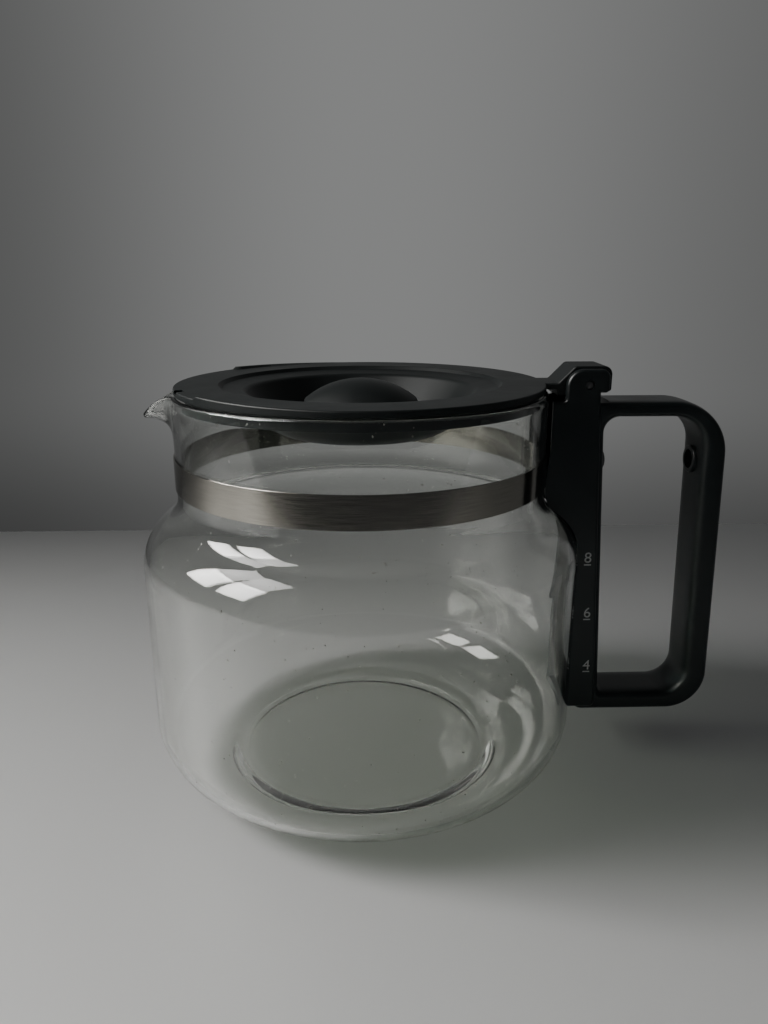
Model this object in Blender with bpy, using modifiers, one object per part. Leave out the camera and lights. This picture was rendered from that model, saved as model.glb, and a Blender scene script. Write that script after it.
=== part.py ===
"""Glass coffee carafe: a blown jug held by a steel neck band, with a moulded handle and a hinged lid.

The origin is the centre of the foot disc that the jug stands on. +Z is up, the handle points to +X and
the pouring lip to -X. Sizes are in metres.
"""
import math

import bmesh
import bpy

MM = 0.001

# Space left between pieces that touch on the real object.
GAP = 0.3 * MM

# Jug
GLASS = 1.8 * MM
BODY_RADIUS = 68.8 * MM
NECK_RADIUS = 57.2 * MM
RIM_HEIGHT = 123.7 * MM
SHOULDER_HEIGHT = 72.0 * MM
SHOULDER_ROUND = 16.0 * MM
NECK_FILLET = 5.0 * MM
CORNER_ROUND = 18.5 * MM
FOOT_RADIUS = 41.0 * MM
FOOT_STEP_OUTER = 47.0 * MM
FOOT_STEP = 2.9 * MM
JUG_SEGMENTS = 64

# Pouring lip
LIP_START_HEIGHT = 107.0 * MM
LIP_REACH = 10.2 * MM
LIP_DROP = 8.5 * MM
LIP_HALF_ANGLE = math.radians(17.0)

# Neck band and its clamp
BAND_LOW = 96.0 * MM
BAND_WIDTH = 9.4 * MM
BAND_THICKNESS = 0.4 * MM
BAND_LEG_Y = 3.6 * MM
BAND_TURN = 2.0 * MM
BAND_HOOK = 2.8 * MM
BAND_HOOK_ROUND = 0.7 * MM
CLAMP_HEIGHT = BAND_LOW + BAND_WIDTH / 2
ANCHOR_X = 63.2 * MM
ANCHOR_THICKNESS = 2.9 * MM
ANCHOR_HALF_WIDTH = 7.0 * MM
ANCHOR_HALF_HEIGHT = 6.0 * MM
ANCHOR_EDGE = 0.4 * MM
SCREW_RADIUS = 1.5 * MM
SCREW_TIP_X = 60.5 * MM
SCREW_HEAD_RADIUS = 3.2 * MM
SCREW_HEAD_HEIGHT = 2.5 * MM
SCREW_HEAD_EDGE = 0.7 * MM
SCREW_SLOT_WIDTH = 0.8 * MM
SCREW_SLOT_DEPTH = 1.0 * MM

# Handle
SPINE_HALF_WIDTH = 9.9 * MM
SPINE_EDGE = 0.9 * MM
SPINE_LOW = 17.2 * MM
SPINE_TOP = 120.6 * MM
SPINE_FACE_INSET = 2.2 * MM
SPINE_LEAN = math.radians(3.0)
SPINE_FOOT_ROUND = 1.5 * MM
WINDOW_NEAR_X = 75.6 * MM
WINDOW_LOW = 21.3 * MM
WINDOW_HIGH = 115.4 * MM
WINDOW_FAR_X = 105.9 * MM
WINDOW_ROUNDS = (1.6 * MM, 5.0 * MM, 9.5 * MM, 8.0 * MM)
GRIP_HALF_WIDTH = 8.5 * MM
GRIP_EDGE = 2.4 * MM
GRIP_LEAN = math.radians(1.8)
GRIP_OUTER_X = 114.0 * MM
GRIP_LOW = 14.8 * MM
GRIP_HIGH = 120.4 * MM
GRIP_TOP_ROUND = 17.7 * MM
GRIP_FOOT_ROUND = 13.0 * MM
CHANNEL_HALF_WIDTH = 7.6 * MM
CHANNEL_WALL = 2.4 * MM
CHANNEL_FLOOR = 19.6 * MM
RIM_RELIEF = 1.0 * MM
EAR_FRONT_X = 61.9 * MM
EAR_REAR_X = 74.8 * MM
EAR_TOP = 130.3 * MM
EAR_UNDERCUT = 123.3 * MM
EAR_FRONT_ROUND = 5.0 * MM
EAR_REAR_ROUND = 2.6 * MM
EAR_LOW_ROUND = 1.2 * MM
ACCESS_RADIUS = 3.0 * MM
COLLAR_RADIUS = 4.4 * MM
COLLAR_REACH = 2.2 * MM
COLLAR_EDGE = 0.5 * MM

# Hinge
PIN_X = 68.6 * MM
PIN_HEIGHT = 125.6 * MM
PIN_RADIUS = 1.3 * MM
PIN_HALF_LENGTH = 9.8 * MM
PIN_EDGE = 0.3 * MM
SWEEP_RADIUS = 9.0 * MM

# Lid
LID_RADIUS = 56.3 * MM
LID_TOP = 126.0 * MM
LID_EDGE = 2.0 * MM
LID_EDGE_ROUND = 0.4 * MM
LID_WALL = 1.9 * MM
STEP_OUTER = 43.2 * MM
STEP_INNER = 42.0 * MM
STEP_DEPTH = 1.1 * MM
BOWL_TOP_RADIUS = 35.3 * MM
BOWL_TOP_DROP = 2.0 * MM
BOWL_FLOOR_RADIUS = 25.0 * MM
BOWL_FLOOR_HEIGHT = 112.6 * MM
BOWL_WALL_OFFSET = 1.0 * MM
DOME_APEX = 126.9 * MM
DOME_ROUND = 27.7 * MM
DOME_SIDE_RADIUS = 19.8 * MM
DOME_FOOT_RADIUS = 21.5 * MM
DOME_FOOT_INNER = 20.0 * MM
SKIRT_OUTER = 54.2 * MM
SKIRT_INNER = 52.8 * MM
SKIRT_LOW = 120.3 * MM
SKIRT_GAP_HALF = 22.0 * MM
SKIRT_GAP_DEPTH = 0.4 * MM
DRIP_HOLES = 8
DRIP_HOLE_RADIUS = 1.3 * MM
DRIP_HOLE_MARGIN = 0.8 * MM
TAB_HALF_WIDTH = 7.2 * MM
TAB_EDGE = 0.5 * MM
TAB_ROOT = 2.0 * MM
TAB_INSET = 0.1 * MM
TAB_LOW = 121.9 * MM
TAB_TOP = 131.0 * MM
TAB_FRONT_X = 59.6 * MM
TAB_REAR_X = 76.0 * MM
THUMB_LOW = 123.4 * MM
THUMB_STEP_X = 72.0 * MM
RAMP_TOP_X = 64.6 * MM
RAMP_FOOT_ROUND = 1.0 * MM
RAMP_TOP_ROUND = 1.6 * MM
THUMB_TOP_ROUND = 2.6 * MM
THUMB_LOW_ROUND = 0.9 * MM
TAB_LOW_ROUND = 0.8 * MM
LID_SEGMENTS = 56

WELD = 0.001 * MM
CUT_WELD = 0.004 * MM
FLAT_ANGLE = math.radians(0.05)
CUT_MARGIN = 5.0 * MM


def clear_scene():
    for item in list(bpy.data.objects):
        bpy.data.objects.remove(item, do_unlink=True)


def new_collection(name):
    collection = bpy.data.collections.new(name)
    bpy.context.scene.collection.children.link(collection)
    return collection


def new_material(name, colour, roughness, metallic=0.0, transmission=0.0):
    material = bpy.data.materials.new(name)
    material.use_nodes = True
    shader = material.node_tree.nodes["Principled BSDF"]
    shader.inputs["Base Color"].default_value = (*colour, 1.0)
    shader.inputs["Roughness"].default_value = roughness
    shader.inputs["Metallic"].default_value = metallic
    shader.inputs["Transmission Weight"].default_value = transmission
    return material


def new_object(name, data, collection):
    item = bpy.data.objects.new(name, data)
    collection.objects.link(item)
    return item


def evaluated_mesh(item, name):
    """A plain mesh copy of an object as its modifiers or curve settings shape it."""
    bpy.context.view_layer.update()
    graph = bpy.context.evaluated_depsgraph_get()
    mesh = bpy.data.meshes.new_from_object(item.evaluated_get(graph))
    mesh.name = name
    return mesh


def as_mesh_object(item, name, collection, join_flat=False):
    """Replace an object by a welded mesh object of the same shape and place."""
    mesh = evaluated_mesh(item, name)
    cage = bmesh.new()
    cage.from_mesh(mesh)
    bmesh.ops.remove_doubles(cage, verts=cage.verts, dist=WELD)
    if join_flat:
        bmesh.ops.dissolve_limit(cage, angle_limit=FLAT_ANGLE, verts=cage.verts, edges=cage.edges)
    bmesh.ops.recalc_face_normals(cage, faces=cage.faces)
    cage.to_mesh(mesh)
    cage.free()
    place = item.matrix_world.copy()
    bpy.data.objects.remove(item, do_unlink=True)
    result = new_object(name, mesh, collection)
    result.matrix_world = place
    return result


def arc(centre_x, centre_z, radius, start, end, steps):
    """Points on a circle from one angle to another, in degrees, both ends included."""
    points = []
    for step in range(steps + 1):
        angle = math.radians(start + (end - start) * step / steps)
        points.append((centre_x + radius * math.cos(angle), centre_z + radius * math.sin(angle)))
    return points


def rounded_outline(corners, degrees_per_step=15.0):
    """Closed outline through corners given as (x, z, rounding radius)."""
    outline = []
    for index, (x, z, radius) in enumerate(corners):
        before = corners[index - 1]
        after = corners[(index + 1) % len(corners)]
        if radius == 0.0:
            outline.append((x, z))
            continue
        to_before = math.atan2(before[1] - z, before[0] - x)
        to_after = math.atan2(after[1] - z, after[0] - x)
        opening = (to_after - to_before + math.pi) % math.tau - math.pi
        middle = to_before + opening / 2
        half = abs(opening) / 2
        reach = radius / math.sin(half)
        centre_x = x + reach * math.cos(middle)
        centre_z = z + reach * math.sin(middle)
        sweep = math.copysign(math.pi - 2 * half, -opening)
        start = middle + math.pi - sweep / 2
        steps = max(2, round(math.degrees(abs(sweep)) / degrees_per_step))
        for step in range(steps + 1):
            angle = start + sweep * step / steps
            outline.append((centre_x + radius * math.cos(angle), centre_z + radius * math.sin(angle)))
    return outline


def turned(name, profile, segments, collection):
    """Turn an (r, z) profile, given from top to bottom of its outer side, about the Z axis."""
    mesh = bpy.data.meshes.new(name)
    points = [(radius, 0.0, height) for radius, height in profile]
    edges = [(index, index + 1) for index in range(len(points) - 1)]
    mesh.from_pydata(points, edges, [])
    item = new_object(name, mesh, collection)
    screw = item.modifiers.new("turn", "SCREW")
    screw.steps = segments
    screw.render_steps = segments
    screw.use_merge_vertices = True
    screw.merge_threshold = WELD
    return item


def plate(name, outlines, half_width, edge, collection, edge_steps=2):
    """Extrude outlines in the XZ plane to both sides of it, with rounded edges.

    A second outline inside the first is a hole.
    """
    curve = bpy.data.curves.new(name, "CURVE")
    curve.dimensions = "2D"
    curve.fill_mode = "BOTH"
    curve.extrude = half_width - edge
    curve.bevel_depth = edge
    curve.bevel_resolution = edge_steps - 1
    curve.offset = -edge
    for outline in outlines:
        spline = curve.splines.new("POLY")
        spline.points.add(len(outline) - 1)
        spline.use_cyclic_u = True
        for point, (x, z) in zip(spline.points, outline):
            point.co = (x, z, 0.0, 1.0)
    item = new_object(name, curve, collection)
    item.rotation_euler = (math.pi / 2, 0.0, 0.0)
    return as_mesh_object(item, name, collection, join_flat=True)


def rod(name, radius, start, end, segments, collection, edge=0.0):
    """Cylinder between two points that lie on a line along X, Y or Z, with optional rounded ends."""
    length = math.dist(start, end)
    cage = bmesh.new()
    bmesh.ops.create_cone(cage, cap_ends=True, segments=segments, radius1=radius, radius2=radius, depth=length)
    mesh = bpy.data.meshes.new(name)
    cage.to_mesh(mesh)
    cage.free()
    item = new_object(name, mesh, collection)
    item.location = [(low + high) / 2 for low, high in zip(start, end)]
    if end[0] != start[0]:
        item.rotation_euler = (0.0, math.pi / 2, 0.0)
    elif end[1] != start[1]:
        item.rotation_euler = (math.pi / 2, 0.0, 0.0)
    if edge > 0.0:
        bevel = item.modifiers.new("ends", "BEVEL")
        bevel.width = edge
        bevel.segments = 2
        bevel.limit_method = "ANGLE"
        bevel.angle_limit = math.radians(60.0)
    return item


def block(name, low, high, collection):
    cage = bmesh.new()
    bmesh.ops.create_cube(cage, size=1.0)
    size = [top - bottom for bottom, top in zip(low, high)]
    bmesh.ops.scale(cage, vec=size, verts=cage.verts)
    mesh = bpy.data.meshes.new(name)
    cage.to_mesh(mesh)
    cage.free()
    item = new_object(name, mesh, collection)
    item.location = [(bottom + top) / 2 for bottom, top in zip(low, high)]
    return item


def combine(item, other, operation):
    boolean = item.modifiers.new(operation.lower() + "_" + other.name, "BOOLEAN")
    boolean.operation = operation
    boolean.object = other
    other.hide_render = True
    other.display_type = "WIRE"


def clean_cuts(item):
    """Merge the slivers that a cut leaves where it passes close to an existing corner."""
    weld = item.modifiers.new("clean_cuts", "WELD")
    weld.merge_threshold = CUT_WELD


def smooth(item, angle=30.0):
    item.data.shade_smooth()
    item.data.set_sharp_from_angle(angle=math.radians(angle))


def jug_section(grow=0.0):
    """Outer half-section of the jug below the rim, as (r, z) from the neck to the foot step."""
    round_x = BODY_RADIUS - SHOULDER_ROUND
    fillet_x = NECK_RADIUS + NECK_FILLET
    rise = math.sqrt((SHOULDER_ROUND + NECK_FILLET) ** 2 - (fillet_x - round_x) ** 2)
    meeting = math.degrees(math.atan2(rise, fillet_x - round_x))
    section = arc(fillet_x, SHOULDER_HEIGHT + rise, NECK_FILLET - grow, 180.0, 180.0 + meeting, 3)
    section += arc(round_x, SHOULDER_HEIGHT, SHOULDER_ROUND + grow, meeting, 0.0, 5)[1:]
    corner_height = FOOT_STEP + CORNER_ROUND
    section += arc(BODY_RADIUS - CORNER_ROUND, corner_height, CORNER_ROUND + grow, 0.0, -90.0, 7)
    return section


def foot_section():
    """The step from the ring under the body down to the foot disc, then in to the axis."""
    section = []
    steps = 4
    for step in range(steps + 1):
        part = step / steps
        radius = FOOT_STEP_OUTER + (FOOT_RADIUS - FOOT_STEP_OUTER) * part
        section.append((radius, FOOT_STEP * (1 + math.cos(math.pi * part)) / 2))
    section.append((0.0, 0.0))
    return section


def pull_lip(x, y, z):
    """Move a point of the neck to where it lies on the pouring lip."""
    rise = (z - LIP_START_HEIGHT) / (RIM_HEIGHT - LIP_START_HEIGHT)
    aside = abs(math.atan2(y, -x)) / LIP_HALF_ANGLE
    if rise <= 0.0 or aside >= 1.0:
        return x, y, z
    strength = math.cos(aside * math.pi / 2) ** 2
    radius = math.hypot(x, y)
    grown = (radius + LIP_REACH * strength * rise ** 2) / radius
    return x * grown, y * grown, z - LIP_DROP * strength ** 1.5 * rise ** 2


def make_jug(parts, material):
    neck_rows = 8
    neck = []
    for row in range(neck_rows + 1):
        part = (row / neck_rows) ** 1.2
        neck.append((NECK_RADIUS, RIM_HEIGHT + (LIP_START_HEIGHT - RIM_HEIGHT) * part))
    profile = turned("glass_jug", neck + jug_section() + foot_section(), JUG_SEGMENTS, parts)
    jug = as_mesh_object(profile, "glass_jug", parts)
    for vertex in jug.data.vertices:
        vertex.co = pull_lip(*vertex.co)
    wall = jug.modifiers.new("wall", "SOLIDIFY")
    wall.thickness = GLASS
    wall.offset = -1.0
    wall.use_even_offset = True
    smooth(jug, 40.0)
    jug.data.materials.append(material)


def band_path():
    """Middle line of the strap, seen from above, from one hooked end to the other."""
    ring = NECK_RADIUS + GAP + BAND_THICKNESS / 2
    hook_x = ANCHOR_X + ANCHOR_THICKNESS + GAP + BAND_THICKNESS / 2
    turn_y = BAND_LEG_Y + BAND_TURN
    turn_x = math.sqrt((ring + BAND_TURN) ** 2 - turn_y ** 2)
    turn = math.degrees(math.atan2(turn_y, turn_x))
    half = [(hook_x, BAND_LEG_Y + BAND_HOOK)]
    half += arc(hook_x - BAND_HOOK_ROUND, BAND_LEG_Y + BAND_HOOK_ROUND, BAND_HOOK_ROUND, 0.0, -90.0, 3)
    half += arc(turn_x, turn_y, BAND_TURN, 270.0, 180.0 + turn, 4)
    circle = arc(0.0, 0.0, ring, turn, 360.0 - turn, JUG_SEGMENTS)
    return half + circle[1:-1] + [(x, -y) for x, y in reversed(half)]


def make_band(parts, material):
    path = band_path()
    cage = bmesh.new()
    row = [cage.verts.new((x, y, BAND_LOW)) for x, y in path]
    edges = [cage.edges.new(pair) for pair in zip(row, row[1:])]
    raised = bmesh.ops.extrude_edge_only(cage, edges=edges)["geom"]
    top = [item for item in raised if isinstance(item, bmesh.types.BMVert)]
    bmesh.ops.translate(cage, vec=(0.0, 0.0, BAND_WIDTH), verts=top)
    bmesh.ops.recalc_face_normals(cage, faces=cage.faces)
    mesh = bpy.data.meshes.new("neck_band")
    cage.to_mesh(mesh)
    cage.free()
    band = new_object("neck_band", mesh, parts)
    strap = band.modifiers.new("strap", "SOLIDIFY")
    strap.thickness = BAND_THICKNESS
    strap.offset = 0.0
    strap.use_even_offset = True
    smooth(band)
    band.data.materials.append(material)


def make_anchor(parts, cutters, material):
    low = (ANCHOR_X, -ANCHOR_HALF_WIDTH, CLAMP_HEIGHT - ANCHOR_HALF_HEIGHT)
    high = (ANCHOR_X + ANCHOR_THICKNESS, ANCHOR_HALF_WIDTH, CLAMP_HEIGHT + ANCHOR_HALF_HEIGHT)
    anchor = block("band_anchor", low, high, parts)
    edge = anchor.modifiers.new("edges", "BEVEL")
    edge.width = ANCHOR_EDGE
    edge.segments = 1
    half_slot = BAND_THICKNESS / 2 + GAP
    for side in (-1, 1):
        centre = side * BAND_LEG_Y
        slot_low = (ANCHOR_X - CUT_MARGIN, centre - half_slot, BAND_LOW - GAP)
        slot_high = (ANCHOR_X + CUT_MARGIN + ANCHOR_THICKNESS, centre + half_slot, high[2] + CUT_MARGIN)
        combine(anchor, block(f"anchor_slot_{side}", slot_low, slot_high, cutters), "DIFFERENCE")
    start = (ANCHOR_X - CUT_MARGIN, 0.0, CLAMP_HEIGHT)
    end = (ANCHOR_X + CUT_MARGIN, 0.0, CLAMP_HEIGHT)
    combine(anchor, rod("anchor_thread", SCREW_RADIUS + GAP, start, end, 20, cutters), "DIFFERENCE")
    anchor.data.materials.append(material)


def make_screw(parts, cutters, material):
    head_x = WINDOW_NEAR_X + GAP
    start = (SCREW_TIP_X, 0.0, CLAMP_HEIGHT)
    head_start = (head_x, 0.0, CLAMP_HEIGHT)
    head_end = (head_x + SCREW_HEAD_HEIGHT, 0.0, CLAMP_HEIGHT)
    overlap_end = (head_x + SCREW_HEAD_HEIGHT / 2, 0.0, CLAMP_HEIGHT)
    screw = rod("clamp_screw", SCREW_HEAD_RADIUS, head_start, head_end, 24, parts, SCREW_HEAD_EDGE)
    combine(screw, rod("screw_shank", SCREW_RADIUS, start, overlap_end, 20, cutters), "UNION")
    slot_low = (head_end[0] - SCREW_SLOT_DEPTH, -SCREW_SLOT_WIDTH / 2, CLAMP_HEIGHT - CUT_MARGIN)
    slot_high = (head_end[0] + CUT_MARGIN, SCREW_SLOT_WIDTH / 2, CLAMP_HEIGHT + CUT_MARGIN)
    combine(screw, block("screw_slot", slot_low, slot_high, cutters), "DIFFERENCE")
    smooth(screw)
    screw.data.materials.append(material)


def leaning(x_at_clamp, lean, height):
    """X of an upright line that leans out towards its foot."""
    return x_at_clamp + (CLAMP_HEIGHT - height) * math.tan(lean)


def spine_outline():
    inside_jug = NECK_RADIUS - CUT_MARGIN
    face_top = leaning(WINDOW_NEAR_X, SPINE_LEAN, EAR_UNDERCUT) - SPINE_FACE_INSET
    face_low = leaning(WINDOW_NEAR_X, SPINE_LEAN, SPINE_LOW) - SPINE_FACE_INSET
    return rounded_outline([
        (inside_jug, SPINE_LOW, 0.0),
        (inside_jug, SPINE_TOP, 0.0),
        (EAR_FRONT_X, SPINE_TOP, EAR_LOW_ROUND),
        (EAR_FRONT_X, EAR_TOP, EAR_FRONT_ROUND),
        (EAR_REAR_X, EAR_TOP, EAR_REAR_ROUND),
        (EAR_REAR_X, EAR_UNDERCUT, EAR_LOW_ROUND),
        (face_top, EAR_UNDERCUT, 0.0),
        (face_low, SPINE_LOW, SPINE_FOOT_ROUND),
    ])


def grip_outlines():
    inside_spine = EAR_FRONT_X + CUT_MARGIN
    outer = rounded_outline([
        (inside_spine, GRIP_LOW, 0.0),
        (inside_spine, GRIP_HIGH, 0.0),
        (leaning(GRIP_OUTER_X, GRIP_LEAN, GRIP_HIGH), GRIP_HIGH, GRIP_TOP_ROUND),
        (leaning(GRIP_OUTER_X, GRIP_LEAN, GRIP_LOW), GRIP_LOW, GRIP_FOOT_ROUND),
    ], 11.0)
    sides = [
        (WINDOW_NEAR_X, SPINE_LEAN, WINDOW_LOW),
        (WINDOW_NEAR_X, SPINE_LEAN, WINDOW_HIGH),
        (WINDOW_FAR_X, GRIP_LEAN, WINDOW_HIGH),
        (WINDOW_FAR_X, GRIP_LEAN, WINDOW_LOW),
    ]
    corners = [(leaning(*side), side[2], radius) for side, radius in zip(sides, WINDOW_ROUNDS)]
    return [outer, rounded_outline(corners)]


def channel_outline():
    """The hollow of the spine, open towards the jug and between the ears."""
    inside_jug = NECK_RADIUS - 2 * CUT_MARGIN
    above = EAR_TOP + CUT_MARGIN
    rear_top = leaning(WINDOW_NEAR_X, SPINE_LEAN, above) - CHANNEL_WALL
    rear_low = leaning(WINDOW_NEAR_X, SPINE_LEAN, CHANNEL_FLOOR) - CHANNEL_WALL
    return [(inside_jug, CHANNEL_FLOOR), (inside_jug, above), (rear_top, above), (rear_low, CHANNEL_FLOOR)]


def jug_clearance_profile():
    """The jug with its band and a gap round it, as a solid that shapes the spine's inner edges."""
    grow = BAND_THICKNESS + 2 * GAP
    relief = NECK_RADIUS + grow + RIM_RELIEF
    relief_low = BAND_LOW + BAND_WIDTH + GAP
    top = LID_TOP + CUT_MARGIN
    profile = [(0.0, top), (relief, top), (relief, relief_low), (NECK_RADIUS + grow, relief_low)]
    return profile + jug_section(grow) + [(0.0, FOOT_STEP - grow)]


def make_handle(parts, cutters, material):
    handle = plate("handle", [spine_outline()], SPINE_HALF_WIDTH, SPINE_EDGE, parts)
    combine(handle, plate("grip", grip_outlines(), GRIP_HALF_WIDTH, GRIP_EDGE, cutters, 3), "UNION")
    collar_start = (WINDOW_FAR_X - COLLAR_REACH, 0.0, CLAMP_HEIGHT)
    collar_end = (WINDOW_FAR_X + COLLAR_REACH, 0.0, CLAMP_HEIGHT)
    collar = rod("collar", COLLAR_RADIUS, collar_start, collar_end, 28, cutters, COLLAR_EDGE)
    combine(handle, collar, "UNION")
    channel = plate("channel", [channel_outline()], CHANNEL_HALF_WIDTH, 0.0, cutters)
    combine(handle, channel, "DIFFERENCE")
    clearance = turned("jug_clearance", jug_clearance_profile(), JUG_SEGMENTS, cutters)
    combine(handle, clearance, "DIFFERENCE")
    sweep_start = (PIN_X, -CHANNEL_HALF_WIDTH, PIN_HEIGHT)
    sweep_end = (PIN_X, CHANNEL_HALF_WIDTH, PIN_HEIGHT)
    combine(handle, rod("lid_sweep", SWEEP_RADIUS, sweep_start, sweep_end, 40, cutters), "DIFFERENCE")
    bore_start = (PIN_X, -SPINE_HALF_WIDTH - CUT_MARGIN, PIN_HEIGHT)
    bore_end = (PIN_X, SPINE_HALF_WIDTH + CUT_MARGIN, PIN_HEIGHT)
    combine(handle, rod("pin_bore", PIN_RADIUS + GAP, bore_start, bore_end, 24, cutters), "DIFFERENCE")
    screw_start = (WINDOW_NEAR_X - CUT_MARGIN, 0.0, CLAMP_HEIGHT)
    screw_end = (WINDOW_NEAR_X + CUT_MARGIN, 0.0, CLAMP_HEIGHT)
    combine(handle, rod("screw_bore", SCREW_RADIUS + GAP, screw_start, screw_end, 20, cutters), "DIFFERENCE")
    access_start = (WINDOW_FAR_X - CUT_MARGIN, 0.0, CLAMP_HEIGHT)
    access_end = (GRIP_OUTER_X + CUT_MARGIN, 0.0, CLAMP_HEIGHT)
    combine(handle, rod("access", ACCESS_RADIUS, access_start, access_end, 28, cutters), "DIFFERENCE")
    clean_cuts(handle)
    smooth(handle)
    handle.data.materials.append(material)


def make_pin(parts, material):
    start = (PIN_X, -PIN_HALF_LENGTH, PIN_HEIGHT)
    end = (PIN_X, PIN_HALF_LENGTH, PIN_HEIGHT)
    pin = rod("hinge_pin", PIN_RADIUS, start, end, 24, parts, PIN_EDGE)
    smooth(pin)
    pin.data.materials.append(material)


def lid_profile():
    """Closed section of the lid: over the top from the axis outwards, then back along the underside."""
    dome_centre = DOME_APEX - DOME_ROUND
    side_angle = math.degrees(math.acos(DOME_SIDE_RADIUS / DOME_ROUND))
    inner_round = DOME_ROUND - LID_WALL
    underside = BOWL_FLOOR_HEIGHT - LID_WALL
    dish = LID_TOP - STEP_DEPTH
    low_edge = LID_TOP - LID_EDGE
    top = arc(0.0, dome_centre, DOME_ROUND, 90.0, side_angle, 6)
    top += [
        (DOME_FOOT_RADIUS, BOWL_FLOOR_HEIGHT),
        (BOWL_FLOOR_RADIUS, BOWL_FLOOR_HEIGHT),
        (BOWL_TOP_RADIUS, LID_TOP - BOWL_TOP_DROP),
        (STEP_INNER, dish),
        (STEP_OUTER, LID_TOP),
        (LID_RADIUS - LID_EDGE_ROUND, LID_TOP),
        (LID_RADIUS, LID_TOP - LID_EDGE_ROUND),
        (LID_RADIUS, low_edge + LID_EDGE_ROUND),
        (LID_RADIUS - LID_EDGE_ROUND, low_edge),
    ]
    under = [
        (SKIRT_OUTER, low_edge),
        (SKIRT_OUTER, SKIRT_LOW),
        (SKIRT_INNER, SKIRT_LOW),
        (SKIRT_INNER, low_edge),
        (STEP_OUTER + STEP_DEPTH, low_edge),
        (STEP_INNER, dish - LID_WALL),
        (BOWL_TOP_RADIUS + BOWL_WALL_OFFSET, LID_TOP - BOWL_TOP_DROP - LID_WALL),
        (BOWL_FLOOR_RADIUS + BOWL_WALL_OFFSET, underside),
        (DOME_FOOT_INNER, underside),
    ]
    under += arc(0.0, dome_centre, inner_round, side_angle, 90.0, 5)
    return top + under


def tab_outline():
    """The tab grows out of the flange and ends in the thumb block behind the pin."""
    inside_flange = SKIRT_OUTER - TAB_ROOT
    top = LID_TOP - TAB_INSET
    low_edge = LID_TOP - LID_EDGE + TAB_INSET
    return rounded_outline([
        (inside_flange, low_edge, 0.0),
        (inside_flange, top, 0.0),
        (TAB_FRONT_X, top, RAMP_FOOT_ROUND),
        (RAMP_TOP_X, TAB_TOP, RAMP_TOP_ROUND),
        (TAB_REAR_X, TAB_TOP, THUMB_TOP_ROUND),
        (TAB_REAR_X, THUMB_LOW, THUMB_LOW_ROUND),
        (THUMB_STEP_X, THUMB_LOW, TAB_LOW_ROUND),
        (THUMB_STEP_X, TAB_LOW, TAB_LOW_ROUND),
        (TAB_FRONT_X, TAB_LOW, TAB_LOW_ROUND),
        (TAB_FRONT_X, low_edge, 0.0),
    ])


def make_lid(parts, cutters, material):
    """The lid hangs on an empty that stands on the hinge axis."""
    hinge = new_object("lid_hinge", None, parts)
    hinge.location = (PIN_X, 0.0, PIN_HEIGHT)
    lid = as_mesh_object(turned("lid", lid_profile(), LID_SEGMENTS, parts), "lid", parts)
    lid.parent = hinge
    lid.location = (-PIN_X, 0.0, -PIN_HEIGHT)
    combine(lid, plate("hinge_tab", [tab_outline()], TAB_HALF_WIDTH, TAB_EDGE, cutters), "UNION")
    bore_start = (PIN_X, -SPINE_HALF_WIDTH, PIN_HEIGHT)
    bore_end = (PIN_X, SPINE_HALF_WIDTH, PIN_HEIGHT)
    combine(lid, rod("tab_bore", PIN_RADIUS + GAP, bore_start, bore_end, 24, cutters), "DIFFERENCE")
    gap_low = (-LID_RADIUS, -SKIRT_GAP_HALF, SKIRT_LOW - CUT_MARGIN)
    gap_high = (-BOWL_TOP_RADIUS, SKIRT_GAP_HALF, LID_TOP - LID_EDGE - SKIRT_GAP_DEPTH)
    combine(lid, block("pouring_gap", gap_low, gap_high, cutters), "DIFFERENCE")
    hole_circle = (DOME_FOOT_RADIUS + BOWL_FLOOR_RADIUS) / 2
    for hole in range(DRIP_HOLES):
        angle = math.tau * (hole + 0.5) / DRIP_HOLES
        x = hole_circle * math.cos(angle)
        y = hole_circle * math.sin(angle)
        low = (x, y, BOWL_FLOOR_HEIGHT - LID_WALL - CUT_MARGIN)
        high = (x, y, BOWL_FLOOR_HEIGHT + DRIP_HOLE_MARGIN)
        combine(lid, rod(f"drip_hole_{hole + 1}", DRIP_HOLE_RADIUS, low, high, 12, cutters), "DIFFERENCE")
    clean_cuts(lid)
    smooth(lid)
    lid.data.materials.append(material)


def build():
    clear_scene()
    parts = new_collection("coffee_carafe")
    cutters = new_collection("cutters")
    glass = new_material("clear_glass", (0.92, 0.95, 0.93), 0.02, transmission=1.0)
    steel = new_material("brushed_steel", (0.62, 0.60, 0.57), 0.3, metallic=1.0)
    zinc = new_material("zinc_plated_steel", (0.55, 0.56, 0.57), 0.35, metallic=1.0)
    handle_plastic = new_material("handle_plastic", (0.016, 0.021, 0.022), 0.3)
    lid_plastic = new_material("lid_plastic", (0.020, 0.024, 0.025), 0.36)
    make_jug(parts, glass)
    make_band(parts, steel)
    make_anchor(parts, cutters, zinc)
    make_screw(parts, cutters, zinc)
    make_handle(parts, cutters, handle_plastic)
    make_pin(parts, zinc)
    make_lid(parts, cutters, lid_plastic)


build()
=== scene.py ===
"""Looks of the glass coffee carafe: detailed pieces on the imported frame, materials and a soft studio.

Sizes are in metres. +Z is up, +X points to the handle and -X to the pouring lip.
"""
import math

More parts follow.
